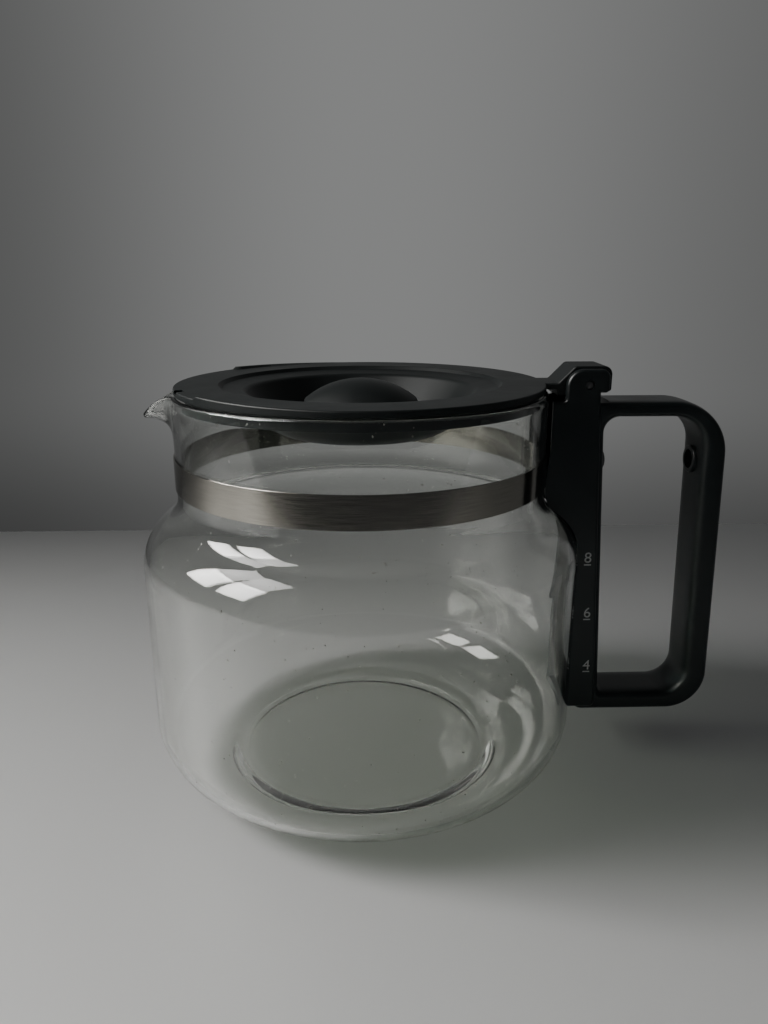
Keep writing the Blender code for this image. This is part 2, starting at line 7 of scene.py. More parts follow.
import bmesh
import bpy
import numpy as np
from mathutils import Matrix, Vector


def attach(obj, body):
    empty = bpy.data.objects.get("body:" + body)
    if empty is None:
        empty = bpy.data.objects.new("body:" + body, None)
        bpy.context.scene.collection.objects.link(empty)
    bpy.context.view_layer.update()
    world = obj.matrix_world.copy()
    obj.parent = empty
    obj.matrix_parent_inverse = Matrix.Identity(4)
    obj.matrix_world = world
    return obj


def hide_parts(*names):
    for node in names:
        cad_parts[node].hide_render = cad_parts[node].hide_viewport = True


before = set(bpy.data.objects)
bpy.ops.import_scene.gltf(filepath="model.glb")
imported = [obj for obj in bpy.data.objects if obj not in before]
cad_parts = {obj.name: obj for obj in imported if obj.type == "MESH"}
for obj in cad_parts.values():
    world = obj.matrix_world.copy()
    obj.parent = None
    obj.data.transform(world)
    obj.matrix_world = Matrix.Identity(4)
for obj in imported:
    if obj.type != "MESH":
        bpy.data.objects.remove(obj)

MM = 0.001

# Gap left between pieces that touch
CLEARANCE = 0.05 * MM

# Jug
GLASS = 1.8 * MM
RIM_GLASS = 2.0 * MM
RIM_SWELL_LENGTH = 2.0 * MM
BODY_RADIUS = 68.8 * MM
NECK_RADIUS = 57.2 * MM
RIM_HEIGHT = 123.7 * MM
SHOULDER_HEIGHT = 72.0 * MM
SHOULDER_ROUND = 16.0 * MM
NECK_FILLET = 9.0 * MM
CORNER_ROUND = 18.5 * MM
FOOT_RADIUS = 41.0 * MM
FOOT_STEP_OUTER = 47.0 * MM
FOOT_STEP = 2.9 * MM
FOOT_RING_RADIUS = 43.5 * MM
FOOT_RING_HALF_WIDTH = 4.5 * MM
FOOT_RING_SWELL = 1.3 * MM
LIP_START_HEIGHT = 107.0 * MM
LIP_REACH = 10.2 * MM
LIP_DROP = 8.5 * MM
LIP_HALF_ANGLE = math.radians(17.0)
JUG_SEGMENTS = 256
LIP_ROWS = 28
NECK_ROWS = 6
FILLET_STEPS = 12
SHOULDER_STEPS = 18
SIDE_ROWS = 8
CORNER_STEPS = 26
FOOT_STEP_ROWS = 14
RIM_STEPS = 9

# Neck band and its clamp
BAND_LOW = 96.0 * MM
BAND_WIDTH = 9.4 * MM
BAND_THICKNESS = 0.4 * MM
BAND_LEG_Y = 3.6 * MM
BAND_TURN = 2.0 * MM
BAND_HOOK = 2.8 * MM
BAND_HOOK_ROUND = 0.7 * MM
BAND_EDGE = 0.12 * MM
CLAMP_HEIGHT = BAND_LOW + BAND_WIDTH / 2
ANCHOR_X = 63.2 * MM
ANCHOR_THICKNESS = 2.9 * MM
ANCHOR_HALF_WIDTH = 7.0 * MM
ANCHOR_HALF_HEIGHT = 6.0 * MM
ANCHOR_EDGE = 0.4 * MM
SCREW_RADIUS = 1.5 * MM
SCREW_TIP_X = 60.5 * MM
SCREW_HEAD_RADIUS = 3.2 * MM
SCREW_HEAD_HEIGHT = 1.5 * MM
SCREW_HEAD_ROUND = 1.1 * MM
SCREW_HEAD_EDGE = 0.15 * MM
SCREW_TIP_SHARE = 0.6
SCREW_SLOT_WIDTH = 0.8 * MM
SCREW_SLOT_DEPTH = 1.0 * MM
THREAD_PITCH = 0.5 * MM
THREAD_DEPTH = 0.15 * MM

# Handle
SPINE_HALF_WIDTH = 9.9 * MM
SPINE_EDGE = 0.9 * MM
SPINE_LOW = 17.2 * MM
SPINE_TOP = 120.6 * MM
SPINE_FACE_INSET = 2.2 * MM
SPINE_LEAN = math.radians(3.0)
SPINE_FOOT_ROUND = 1.5 * MM
WINDOW_NEAR_X = 75.6 * MM
WINDOW_LOW = 21.3 * MM
WINDOW_HIGH = 115.4 * MM
WINDOW_FAR_X = 105.9 * MM
WINDOW_ROUNDS = (2.0 * MM, 5.0 * MM, 9.5 * MM, 8.0 * MM)
GRIP_HALF_WIDTH = 8.5 * MM
GRIP_SQUARENESS = 4.5
GRIP_POINTS = 64
GRIP_LEAN = math.radians(1.8)
GRIP_OUTER_X = 114.0 * MM
GRIP_LOW = 14.8 * MM
GRIP_HIGH = 120.4 * MM
GRIP_ROUNDS = (2.0 * MM, 2.0 * MM, 17.7 * MM, 13.0 * MM)
CHANNEL_HALF_WIDTH = 7.6 * MM
CHANNEL_WALL = 2.4 * MM
CHANNEL_FLOOR = 19.6 * MM
RIM_RELIEF = 1.0 * MM
EAR_FRONT_X = 61.9 * MM
EAR_REAR_X = 74.8 * MM
EAR_TOP = 130.3 * MM
EAR_UNDERCUT = 123.3 * MM
EAR_FRONT_ROUND = 5.0 * MM
EAR_REAR_ROUND = 2.6 * MM
EAR_LOW_ROUND = 1.2 * MM
ACCESS_RADIUS = 3.0 * MM
COLLAR_RADIUS = 4.4 * MM
COLLAR_REACH = 1.1 * MM
COLLAR_EDGE = 0.4 * MM

# Level numbers: the number, the X of its middle and the height of the line under it
LEVEL_MARKS = (("8", 71.9 * MM, 68.4 * MM), ("6", 73.0 * MM, 49.4 * MM), ("4", 74.1 * MM, 30.5 * MM))
DIGIT_HEIGHT = 3.5 * MM
DIGIT_SHARE_OF_SIZE = 0.7
DIGIT_GAP = 0.75 * MM
LINE_WIDTH = 2.3 * MM
LINE_HEIGHT = 0.4 * MM
PAINT = 0.04 * MM

# Hinge
PIN_X = 68.6 * MM
PIN_HEIGHT = 125.6 * MM
PIN_RADIUS = 1.3 * MM
PIN_HALF_LENGTH = 9.4 * MM
PIN_EDGE = 0.3 * MM
SWEEP_RADIUS = 9.0 * MM

# Lid
LID_RADIUS = 56.3 * MM
LID_TOP = 126.0 * MM
LID_EDGE = 2.0 * MM
LID_WALL = 1.9 * MM
LID_CREASE = 0.3 * MM
LID_EDGE_ROUND = 0.5 * MM
STEP_OUTER = 43.2 * MM
STEP_INNER = 42.0 * MM
STEP_DEPTH = 1.1 * MM
BOWL_TOP_RADIUS = 35.3 * MM
BOWL_TOP_DROP = 2.0 * MM
BOWL_TOP_ROUND = 3.0 * MM
BOWL_FLOOR_RADIUS = 25.0 * MM
BOWL_FLOOR_HEIGHT = 112.6 * MM
BOWL_FLOOR_ROUND = 2.5 * MM
BOWL_UNDER_ROUND = 9.0 * MM
BOWL_WALL_OFFSET = 1.0 * MM
DOME_APEX = 126.9 * MM
DOME_ROUND = 27.7 * MM
DOME_SIDE_RADIUS = 17.4 * MM
DOME_SIDE_ROUND = 1.2 * MM
DOME_FOOT_RADIUS = 19.4 * MM
DOME_FOOT_ROUND = 0.8 * MM
DOME_FOOT_INNER = 17.9 * MM
SKIRT_OUTER = 54.2 * MM
SKIRT_INNER = 52.8 * MM
SKIRT_LOW = 120.3 * MM
SKIRT_GAP_HALF = 22.0 * MM
SKIRT_GAP_DEPTH = 0.4 * MM
DRIP_HOLES = 8
DRIP_HOLE_RADIUS = 1.3 * MM
DRIP_HOLE_CIRCLE = 23.0 * MM
DRIP_HOLE_RISE = 0.8 * MM
RIDGE_INNER = 54.2 * MM
RIDGE_SLOPE = 0.9 * MM
RIDGE_HEIGHT = 0.8 * MM
RIDGE_START = math.radians(142.0)
RIDGE_END = math.radians(98.0)
NOTCH_ANGLE = math.radians(-159.0)
NOTCH_LENGTH = 4.0 * MM
NOTCH_REACH = 2.4 * MM
NOTCH_DEPTH = 0.9 * MM
TAB_HALF_WIDTH = 7.2 * MM
TAB_EDGE = 0.5 * MM
TAB_ROOT = 2.0 * MM
TAB_INSET = 0.1 * MM
TAB_LOW = 121.9 * MM
TAB_TOP = 131.0 * MM
TAB_FRONT_X = 59.6 * MM
TAB_REAR_X = 76.0 * MM
THUMB_LOW = 123.4 * MM
THUMB_STEP_X = 72.0 * MM
RAMP_TOP_X = 64.6 * MM
RAMP_FOOT_ROUND = 1.0 * MM
RAMP_TOP_ROUND = 1.6 * MM
THUMB_TOP_ROUND = 2.6 * MM
THUMB_LOW_ROUND = 0.9 * MM
THUMB_STEP_ROUND = 0.4 * MM
TAB_LOW_ROUND = 0.8 * MM
LID_SEGMENTS = 288

# Meshes: distance for welding points, shortest side of a rounding, angle that still counts as flat,
# and how far a cutting solid reaches past what it cuts
WELD = 0.001 * MM
SHORTEST_STEP = 0.15 * MM
FLAT_ANGLE = math.radians(0.05)
CUT_MARGIN = 5.0 * MM

# Plastics: main colour, rubbed colour, roughness, gloss and depth of the grain
HANDLE_PLASTIC = ((0.006, 0.012, 0.013), (0.016, 0.024, 0.026), 0.35, 0.40, 0.012 * MM)
LID_PLASTIC = ((0.008, 0.013, 0.013), (0.018, 0.024, 0.025), 0.47, 0.25, 0.016 * MM)

# Camera: its place, how far it is turned down, to the right and on its own axis, and its lens in mm
CAMERA_PLACE = (0.0, -0.2453, 0.1574)
CAMERA_DOWN = math.radians(16.7)
CAMERA_RIGHT = math.radians(1.66)
CAMERA_ROLL = math.radians(-0.1)
CAMERA_LENS = 27.8

# Studio
FLOOR_HEIGHT = -0.1 * MM
FLOOR_HALF_LENGTH = 0.7
FLOOR_FRONT = -0.25
FLOOR_BACK = 0.244
WALL_TONE = (0.226, 0.229, 0.227)
ROOM_TONE = (0.048, 0.050, 0.052)
LIGHT_COLOUR = (1.0, 0.985, 0.96)
PANE_TARGET = (0.0, -0.12, 0.02)
PANE_SIZE = (0.32, 0.42)
PANE_SPREAD = 64.0

# Window panes: name, place, power in watts, and whether the glass lets its light through
PANES = (
    ("window_front", (-0.85, -0.36, 0.60), 1.65, True),
    ("window_back", (-0.93, 0.02, 0.60), 1.65, True),
    ("window_top_front", (-0.70, -0.32, 0.92), 0.7, False),
    ("window_top_back", (-0.78, 0.00, 0.92), 0.7, False),
)


# Shapes

def new_object(name, data):
    item = bpy.data.objects.new(name, data)
    bpy.context.scene.collection.objects.link(item)
    return item


def evaluated_mesh(item, name):
    """A plain mesh copy of an object as its modifiers or curve settings shape it."""
    bpy.context.view_layer.update()
    graph = bpy.context.evaluated_depsgraph_get()
    mesh = bpy.data.meshes.new_from_object(item.evaluated_get(graph))
    mesh.name = name
    return mesh


def as_mesh_object(item, join_flat=False):
    """Replace an object by a welded mesh object of the same shape and place."""
    name = item.name
    mesh = evaluated_mesh(item, name)
    mesh.transform(item.matrix_world)
    cage = bmesh.new()
    cage.from_mesh(mesh)
    bmesh.ops.remove_doubles(cage, verts=cage.verts, dist=WELD)
    if join_flat:
        bmesh.ops.dissolve_limit(cage, angle_limit=FLAT_ANGLE, verts=cage.verts, edges=cage.edges)
    bmesh.ops.recalc_face_normals(cage, faces=cage.faces)
    cage.to_mesh(mesh)
    cage.free()
    bpy.data.objects.remove(item, do_unlink=True)
    return new_object(name, mesh)


def arc(centre_x, centre_z, radius, start, end, steps):
    """Points on a circle from one angle to another, in degrees, both ends included."""
    angles = np.radians(np.linspace(start, end, steps + 1))
    return [(centre_x + radius * math.cos(angle), centre_z + radius * math.sin(angle)) for angle in angles]


def corner_arc(before, corner, after, degrees_per_step):
    """Points that round one corner given as (x, z, rounding radius), between its two neighbours."""
    x, z, radius = corner
    if radius == 0.0:
        return [(x, z)]
    to_before = math.atan2(before[1] - z, before[0] - x)
    to_after = math.atan2(after[1] - z, after[0] - x)
    opening = (to_after - to_before + math.pi) % math.tau - math.pi
    middle = to_before + opening / 2
    half = abs(opening) / 2
    reach = radius / math.sin(half)
    sweep = math.degrees(math.copysign(math.pi - 2 * half, -opening))
    start = math.degrees(middle) + 180.0 - sweep / 2
    length = radius * (math.pi - 2 * half)
    steps = max(3, round(min(abs(sweep) / degrees_per_step, length / SHORTEST_STEP)))
    centre_x = x + reach * math.cos(middle)
    centre_z = z + reach * math.sin(middle)
    return arc(centre_x, centre_z, radius, start, start + sweep, steps)


def rounded_outline(corners, degrees_per_step=4.0):
    """Closed outline through corners given as (x, z, rounding radius)."""
    outline = []
    for index, corner in enumerate(corners):
        after = corners[(index + 1) % len(corners)]
        outline += corner_arc(corners[index - 1], corner, after, degrees_per_step)
    return outline


def rounded_path(corners, degrees_per_step=8.0):
    """Open path through corners given as (x, z, rounding radius). Its two ends aren't rounded."""
    path = [corners[0][:2]]
    for before, corner, after in zip(corners, corners[1:], corners[2:]):
        path += corner_arc(before, corner, after, degrees_per_step)
    return path + [corners[-1][:2]]


def rows_object(name, rows, closed=False, caps=False):
    """Skin over rows of points, each row a closed ring or a single point.

    A closed skin joins its last row to its first. Caps fill the first and the last ring.
    """
    cage = bmesh.new()
    made = [[cage.verts.new(point) for point in row] for row in rows]
    pairs = list(zip(made, made[1:]))
    if closed:
        pairs.append((made[-1], made[0]))
    for first, second in pairs:
        count = max(len(first), len(second))
        if count == 1:
            continue
        for index in range(count):
            corners = [
                first[index % len(first)],
                first[(index + 1) % len(first)],
                second[(index + 1) % len(second)],
                second[index % len(second)],
            ]
            cage.faces.new(dict.fromkeys(corners))
    if caps:
        cage.faces.new(made[0])
        cage.faces.new(made[-1])
    bmesh.ops.recalc_face_normals(cage, faces=cage.faces)
    mesh = bpy.data.meshes.new(name)
    cage.to_mesh(mesh)
    cage.free()
    return new_object(name, mesh)


def ring(radius, height, segments):
    """Points round the Z axis, or a single point where the radius is zero."""
    if radius == 0.0:
        return np.array([(0.0, 0.0, height)])
    angles = np.arange(segments) * math.tau / segments
    return np.column_stack((radius * np.cos(angles), radius * np.sin(angles), np.full(segments, height)))


def turned(name, section, segments):
    """Turn an (r, z) section about the Z axis."""
    return rows_object(name, [ring(radius, height, segments) for radius, height in section])


def plate(name, outlines, half_width, edge, edge_steps=5):
    """Extrude outlines in the XZ plane to both sides of it, with rounded edges.

    A second outline inside the first is a hole.
    """
    curve = bpy.data.curves.new(name, "CURVE")
    curve.dimensions = "2D"
    curve.fill_mode = "BOTH"
    curve.extrude = half_width - edge
    curve.bevel_depth = edge
    curve.bevel_resolution = edge_steps - 1
    curve.offset = -edge
    for outline in outlines:
        spline = curve.splines.new("POLY")
        spline.points.add(len(outline) - 1)
        spline.use_cyclic_u = True
        for point, (x, z) in zip(spline.points, outline):
            point.co = (x, z, 0.0, 1.0)
    item = new_object(name, curve)
    item.rotation_euler = (math.pi / 2, 0.0, 0.0)
    return as_mesh_object(item, join_flat=True)


def rod(name, radius, start, end, segments=64, edge=0.0):
    """Cylinder between two points that lie on a line along X, Y or Z, with optional rounded ends."""
    half = math.dist(start, end) / 2
    corners = [(0.0, -half, 0.0), (radius, -half, edge), (radius, half, edge), (0.0, half, 0.0)]
    item = turned(name, rounded_path(corners, 18.0), segments)
    item.location = [(low + high) / 2 for low, high in zip(start, end)]
    if end[0] != start[0]:
        item.rotation_euler = (0.0, math.pi / 2, 0.0)
    elif end[1] != start[1]:
        item.rotation_euler = (math.pi / 2, 0.0, 0.0)
    return as_mesh_object(item)


def block(name, low, high, edge=0.0, turn=0.0):
    """Box with optional rounded edges, turned about the Z axis by an angle in radians."""
    cage = bmesh.new()
    bmesh.ops.create_cube(cage, size=1.0)
    bmesh.ops.scale(cage, vec=[top - bottom for bottom, top in zip(low, high)], verts=cage.verts)
    bmesh.ops.translate(cage, vec=[(bottom + top) / 2 for bottom, top in zip(low, high)], verts=cage.verts)
    if edge > 0.0:
        bmesh.ops.bevel(cage, geom=cage.edges, offset=edge, segments=3, profile=0.5, affect="EDGES")
    mesh = bpy.data.meshes.new(name)
    cage.to_mesh(mesh)
    cage.free()
    item = new_object(name, mesh)
    item.rotation_euler = (0.0, 0.0, turn)
    return as_mesh_object(item)


def shaped(base, steps):
    """Join to base, or cut from it, each object of a list of (operation, object)."""
    for operation, other in steps:
        boolean = base.modifiers.new(other.name, "BOOLEAN")
        boolean.operation = operation
        boolean.object = other
    result = as_mesh_object(base)
    for _, other in steps:
        bpy.data.objects.remove(other, do_unlink=True)
    return result


def smooth(item, angle=30.0):
    """Smooth shading that large flat faces keep flat."""
    item.data.shade_smooth()
    item.data.set_sharp_from_angle(angle=math.radians(angle))
    weighted = item.modifiers.new("weighted_normals", "WEIGHTED_NORMAL")
    weighted.keep_sharp = True


def place(item, node, body, material):
    """Show a finished piece in place of a CAD node."""
    item.data.materials.clear()
    item.data.materials.append(material)
    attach(item, body)
    if node:
        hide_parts(node)


# Jug

def jug_section():
    """Outer half-section of the jug as (r, z), from the rim to the middle of the foot disc."""
    round_x = BODY_RADIUS - SHOULDER_ROUND
    fillet_x = NECK_RADIUS + NECK_FILLET
    rise = math.sqrt((SHOULDER_ROUND + NECK_FILLET) ** 2 - (fillet_x - round_x) ** 2)
    meeting = math.degrees(math.atan2(rise, fillet_x - round_x))
    fillet_height = SHOULDER_HEIGHT + rise
    top = RIM_HEIGHT - RIM_GLASS / 2
    section = [(NECK_RADIUS, height) for height in np.linspace(top, LIP_START_HEIGHT, LIP_ROWS)]
    neck_heights = np.linspace(LIP_START_HEIGHT, fillet_height, NECK_ROWS)
    section += [(NECK_RADIUS, height) for height in neck_heights[1:-1]]
    section += arc(fillet_x, fillet_height, NECK_FILLET, 180.0, 180.0 + meeting, FILLET_STEPS)
    section += arc(round_x, SHOULDER_HEIGHT, SHOULDER_ROUND, meeting, 0.0, SHOULDER_STEPS)[1:]
    corner_height = FOOT_STEP + CORNER_ROUND
    side_heights = np.linspace(SHOULDER_HEIGHT, corner_height, SIDE_ROWS)
    section += [(BODY_RADIUS, height) for height in side_heights[1:-1]]
    section += arc(BODY_RADIUS - CORNER_ROUND, corner_height, CORNER_ROUND, 0.0, -90.0, CORNER_STEPS)
    for part in np.linspace(0.0, 1.0, FOOT_STEP_ROWS):
        radius = FOOT_STEP_OUTER + (FOOT_RADIUS - FOOT_STEP_OUTER) * part
        section.append((radius, FOOT_STEP * (1 + math.cos(math.pi * part)) / 2))
    section += [(FOOT_RADIUS * part, 0.0) for part in (0.9, 0.7, 0.4, 0.0)]
    return section


def pull_lip(row):
    """Move the points of one row of the neck to where they lie on the pouring lip."""
    x, y, z = row.T
    rise = np.clip((z - LIP_START_HEIGHT) / (RIM_HEIGHT - LIP_START_HEIGHT), 0.0, 1.0)
    aside = np.clip(np.abs(np.arctan2(y, -x)) / LIP_HALF_ANGLE, 0.0, 1.0)
    strength = np.cos(aside * math.pi / 2) ** 2
    radius = np.maximum(np.hypot(x, y), WELD)
    grown = (radius + LIP_REACH * strength * rise ** 2) / radius
    return np.column_stack((x * grown, y * grown, z - LIP_DROP * strength ** 1.5 * rise ** 2))


def wall_normals(rows):
    """Outward normals of a grid of points, from its neighbours along and round the wall."""
    grid = np.array(rows)
    down = np.gradient(grid, axis=0)
    round_wall = np.roll(grid, -1, axis=1) - np.roll(grid, 1, axis=1)
    normals = np.cross(down, round_wall)
    return normals / np.linalg.norm(normals, axis=2, keepdims=True)


def wall_thickness(radius, height):
    """Thickness of the glass at a radius and height of its outside: more at the rim and the foot ring."""
    swell = max(0.0, 1.0 - (RIM_HEIGHT - RIM_GLASS / 2 - height) / RIM_SWELL_LENGTH)
    wall = GLASS + (RIM_GLASS - GLASS) * swell ** 2 * (3 - 2 * swell)
    if height < FOOT_STEP + GLASS:
        beside = min(1.0, abs(radius - FOOT_RING_RADIUS) / FOOT_RING_HALF_WIDTH)
        wall += FOOT_RING_SWELL * math.cos(beside * math.pi / 2) ** 2
    return wall


def rolled_rim(outer, inner):
    """Rows of points that close the wall's top in a half round, from the inner row to the outer one."""
    upward = outer[0] - outer[1]
    upward /= np.linalg.norm(upward, axis=1, keepdims=True)
    middle = (outer[0] + inner[0]) / 2
    across = (outer[0] - inner[0]) / 2
    reach = np.linalg.norm(across, axis=1, keepdims=True)
    rows = []
    for angle in np.linspace(math.pi, 0.0, RIM_STEPS + 1)[1:-1]:
        rows.append(middle + across * math.cos(angle) + upward * reach * math.sin(angle))
    return rows


def make_jug(material):
    """One glass wall with a rolled rim, a drawn lip and a thicker ring round the foot."""
    section = jug_section()[:-1]
    outer = [pull_lip(ring(radius, height, JUG_SEGMENTS)) for radius, height in section]
    inner = []
    for row, normal, (radius, height) in zip(outer, wall_normals(outer), section):
        inner.append(row - normal * wall_thickness(radius, height))
    foot = [ring(0.0, 0.0, 1), ring(0.0, GLASS, 1)]
    jug = rows_object("jug_glass", outer + foot + inner[::-1] + rolled_rim(outer, inner), closed=True)
    jug.data.shade_smooth()
    place(jug, "glass_jug", "jug", material)


# Neck band and clamp

def band_path():
    """Middle line of the strap, seen from above, from one hooked end to the other."""
    ring_radius = NECK_RADIUS + CLEARANCE + BAND_THICKNESS / 2
    hook_x = ANCHOR_X + ANCHOR_THICKNESS + CLEARANCE + BAND_THICKNESS / 2
    turn_y = BAND_LEG_Y + BAND_TURN
    turn_x = math.sqrt((ring_radius + BAND_TURN) ** 2 - turn_y ** 2)
    turn = math.degrees(math.atan2(turn_y, turn_x))
    half = [(hook_x, BAND_LEG_Y + BAND_HOOK)]
    half += arc(hook_x - BAND_HOOK_ROUND, BAND_LEG_Y + BAND_HOOK_ROUND, BAND_HOOK_ROUND, 0.0, -90.0, 8)
    half += arc(turn_x, turn_y, BAND_TURN, 270.0, 180.0 + turn, 12)
    circle = arc(0.0, 0.0, ring_radius, turn, 360.0 - turn, JUG_SEGMENTS)
    return np.array(half + circle[1:-1] + [(x, -y) for x, y in reversed(half)])


def make_band(material):
    """The steel strap round the neck, with both ends turned out and hooked."""
    path = band_path()
    along = np.gradient(path, axis=0)
    along /= np.linalg.norm(along, axis=1, keepdims=True)
    half = BAND_THICKNESS / 2
    strip = rounded_outline([
        (-half, BAND_LOW, BAND_EDGE),
        (half, BAND_LOW, BAND_EDGE),
        (half, BAND_LOW + BAND_WIDTH, BAND_EDGE),
        (-half, BAND_LOW + BAND_WIDTH, BAND_EDGE),
    ], 30.0)
    rows = []
    for (x, y), (along_x, along_y) in zip(path, along):
        rows.append([(x + along_y * offset, y - along_x * offset, height) for offset, height in strip])
    band = rows_object("band_strip", rows, caps=True)
    smooth(band, 40.0)
    place(band, "neck_band", "jug", material)


def make_anchor(material):
    """The plate that the band's ends hook over, with two slots and a hole for the screw."""
    low = (ANCHOR_X, -ANCHOR_HALF_WIDTH, CLAMP_HEIGHT - ANCHOR_HALF_HEIGHT)
    high = (ANCHOR_X + ANCHOR_THICKNESS, ANCHOR_HALF_WIDTH, CLAMP_HEIGHT + ANCHOR_HALF_HEIGHT)
    half_slot = BAND_THICKNESS / 2 + CLEARANCE
    cuts = []
    for side in (-1, 1):
        centre = side * BAND_LEG_Y
        slot_low = (low[0] - CUT_MARGIN, centre - half_slot, BAND_LOW - CLEARANCE)
        slot_high = (high[0] + CUT_MARGIN, centre + half_slot, high[2] + CUT_MARGIN)
        cuts.append(("DIFFERENCE", block("anchor_slot", slot_low, slot_high)))
    start = (low[0] - CUT_MARGIN, 0.0, CLAMP_HEIGHT)
    end = (high[0] + CUT_MARGIN, 0.0, CLAMP_HEIGHT)
    cuts.append(("DIFFERENCE", rod("anchor_hole", SCREW_RADIUS + CLEARANCE, start, end)))
    anchor = shaped(block("anchor_plate", low, high, ANCHOR_EDGE), cuts)
    smooth(anchor)
    place(anchor, "band_anchor", "jug", material)


def screw_section(length):
    """Half-section of the screw, from the top of its head at 0 down to its tip, with a grooved shank."""
    head = rounded_path([
        (0.0, 0.0, 0.0),
        (SCREW_HEAD_RADIUS, 0.0, SCREW_HEAD_ROUND),
        (SCREW_HEAD_RADIUS, -SCREW_HEAD_HEIGHT, SCREW_HEAD_EDGE),
        (SCREW_RADIUS, -SCREW_HEAD_HEIGHT, 0.0),
    ])
    shank = []
    turns = int((length - SCREW_HEAD_HEIGHT) / THREAD_PITCH) - 1
    for turn in range(turns):
        top = -SCREW_HEAD_HEIGHT - THREAD_PITCH * (turn + 0.5)
        shank.append((SCREW_RADIUS, top))
        shank.append((SCREW_RADIUS - THREAD_DEPTH, top - THREAD_PITCH / 2))
    return head + shank + [(SCREW_RADIUS * SCREW_TIP_SHARE, -length), (0.0, -length)]


def make_screw(material):
    """The clamp screw, lying along X with its slotted head on the window side of the spine."""
    head_top = WINDOW_NEAR_X + CLEARANCE + SCREW_HEAD_HEIGHT
    screw = turned("screw_body", screw_section(head_top - SCREW_TIP_X), 64)
    screw.rotation_euler = (0.0, math.pi / 2, 0.0)
    screw.location = (head_top, 0.0, CLAMP_HEIGHT)
    screw = as_mesh_object(screw)
    slot_low = (head_top - SCREW_SLOT_DEPTH, -SCREW_SLOT_WIDTH / 2, CLAMP_HEIGHT - CUT_MARGIN)
    slot_high = (head_top + CUT_MARGIN, SCREW_SLOT_WIDTH / 2, CLAMP_HEIGHT + CUT_MARGIN)
    screw = shaped(screw, [("DIFFERENCE", block("screw_slot", slot_low, slot_high))])
    smooth(screw)
    place(screw, "clamp_screw", "jug", material)


# Handle

def leaning(x_at_clamp, lean, height):
    """X of an upright line that leans out towards its foot."""
    return x_at_clamp + (CLAMP_HEIGHT - height) * math.tan(lean)


def spine_outline():
    """Side view of the handle's upright part with its hinge ears."""
    inside_jug = NECK_RADIUS - CUT_MARGIN
    face_top = leaning(WINDOW_NEAR_X, SPINE_LEAN, EAR_UNDERCUT) - SPINE_FACE_INSET
    face_low = leaning(WINDOW_NEAR_X, SPINE_LEAN, SPINE_LOW) - SPINE_FACE_INSET
    return rounded_outline([
        (inside_jug, SPINE_LOW, 0.0),
        (inside_jug, SPINE_TOP, 0.0),
        (EAR_FRONT_X, SPINE_TOP, EAR_LOW_ROUND),
        (EAR_FRONT_X, EAR_TOP, EAR_FRONT_ROUND),
        (EAR_REAR_X, EAR_TOP, EAR_REAR_ROUND),
        (EAR_REAR_X, EAR_UNDERCUT, EAR_LOW_ROUND),
        (face_top, EAR_UNDERCUT, 0.0),
        (face_low, SPINE_LOW, SPINE_FOOT_ROUND),
    ])


def grip_loops():
    """Outlines of the grip's outside and of its window, with the same number of points."""
    near = EAR_FRONT_X + CUT_MARGIN
    outside = [
        (near, SPINE_LEAN, GRIP_LOW),
        (near, SPINE_LEAN, GRIP_HIGH),
        (GRIP_OUTER_X, GRIP_LEAN, GRIP_HIGH),
        (GRIP_OUTER_X, GRIP_LEAN, GRIP_LOW),
    ]
    window = [
        (WINDOW_NEAR_X, SPINE_LEAN, WINDOW_LOW),
        (WINDOW_NEAR_X, SPINE_LEAN, WINDOW_HIGH),
        (WINDOW_FAR_X, GRIP_LEAN, WINDOW_HIGH),
        (WINDOW_FAR_X, GRIP_LEAN, WINDOW_LOW),
    ]
    loops = []
    for sides, rounds in ((outside, GRIP_ROUNDS), (window, WINDOW_ROUNDS)):
        corners = [(leaning(*side), side[2], radius) for side, radius in zip(sides, rounds)]
        loops.append(np.array(rounded_outline(corners, 5.0)))
    return loops


def make_grip():
    """The D-shaped loop of the handle, a bar whose section is a rectangle with very soft corners."""
    outside, window = grip_loops()
    middle = (outside + window) / 2
    half = (outside - window) / 2
    rows = []
    for angle in np.arange(GRIP_POINTS) * math.tau / GRIP_POINTS:
        across = math.copysign(abs(math.cos(angle)) ** (2 / GRIP_SQUARENESS), math.cos(angle))
        aside = math.copysign(abs(math.sin(angle)) ** (2 / GRIP_SQUARENESS), math.sin(angle))
        rows.append([(x, GRIP_HALF_WIDTH * aside, z) for x, z in middle + half * across])
    return rows_object("grip", rows, closed=True)


def channel_outline():
    """The hollow of the spine, open towards the jug and between the ears."""
    inside_jug = NECK_RADIUS - 2 * CUT_MARGIN
    above = EAR_TOP + CUT_MARGIN
    rear_top = leaning(WINDOW_NEAR_X, SPINE_LEAN, above) - CHANNEL_WALL
    rear_low = leaning(WINDOW_NEAR_X, SPINE_LEAN, CHANNEL_FLOOR) - CHANNEL_WALL
    return [(inside_jug, CHANNEL_FLOOR), (inside_jug, above), (rear_top, above), (rear_low, CHANNEL_FLOOR)]


def jug_clearance_section():
    """The jug with its band and a small gap round it, as a solid that shapes the spine's inner edges."""
    grow = BAND_THICKNESS + 2 * CLEARANCE
    relief = NECK_RADIUS + grow + RIM_RELIEF
    relief_low = BAND_LOW + BAND_WIDTH + CLEARANCE
    top = LID_TOP + CUT_MARGIN
    section = [(0.0, top), (relief, top), (relief, relief_low)]
    section += [(radius + grow, height) for radius, height in jug_section()[:-1] if height < BAND_LOW]
    return section + [(0.0, -grow)]


